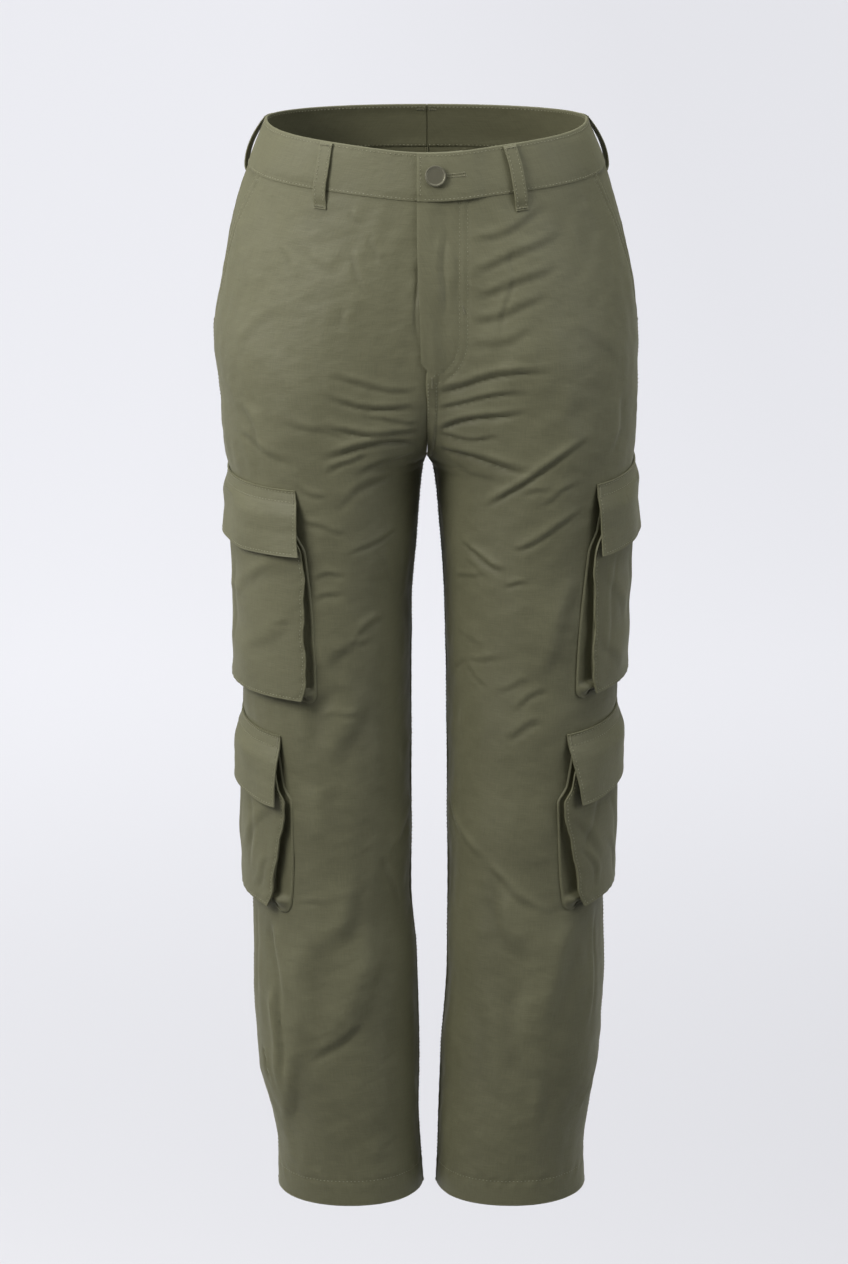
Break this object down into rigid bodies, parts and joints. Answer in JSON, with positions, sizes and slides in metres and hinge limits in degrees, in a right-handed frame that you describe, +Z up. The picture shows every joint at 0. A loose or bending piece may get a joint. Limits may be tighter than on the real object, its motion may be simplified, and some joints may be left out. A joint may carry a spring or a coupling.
{
  "type": "cargo trousers",
  "caption": "Hollow cargo trousers filled out as if worn, with an open waist and hems, slant hip pockets, flapped bellows pockets on the legs, belt loops and a waist button.",
  "frame": {"origin": "middle of the waist opening, level with the waistband's top edge at the sides", "axes": "+Z up along the garment, -Y out of the front, +X towards the wearer's left"},
  "size_m": [0.3779, 0.2572, 0.9731],
  "materials": {
    "cloth": "matte",
    "button": "satin"
  },
  "bodies": {
    "root": {"front_right": "cloth", "front_left": "cloth", "back_right": "cloth", "back_left": "cloth", "hip_pocket_facing_right": "cloth", "hip_pocket_facing_left": "cloth", "waistband_right": "cloth", "waistband_left": "cloth", "belt_loop_front_right": "cloth", "belt_loop_front_left": "cloth", "belt_loop_side_right": "cloth", "belt_loop_side_left": "cloth", "belt_loop_centre_back": "cloth", "button": "button", "upper_pocket_right_pouch": "cloth", "upper_pocket_right_gusset": "cloth", "upper_pocket_right_flap": "cloth", "upper_pocket_left_pouch": "cloth", "upper_pocket_left_gusset": "cloth", "upper_pocket_left_flap": "cloth", "lower_pocket_right_pouch": "cloth", "lower_pocket_right_gusset": "cloth", "lower_pocket_right_flap": "cloth", "lower_pocket_left_pouch": "cloth", "lower_pocket_left_gusset": "cloth", "lower_pocket_left_flap": "cloth", "hem_right": "cloth", "hem_left": "cloth"}
  },
  "joints": []
}
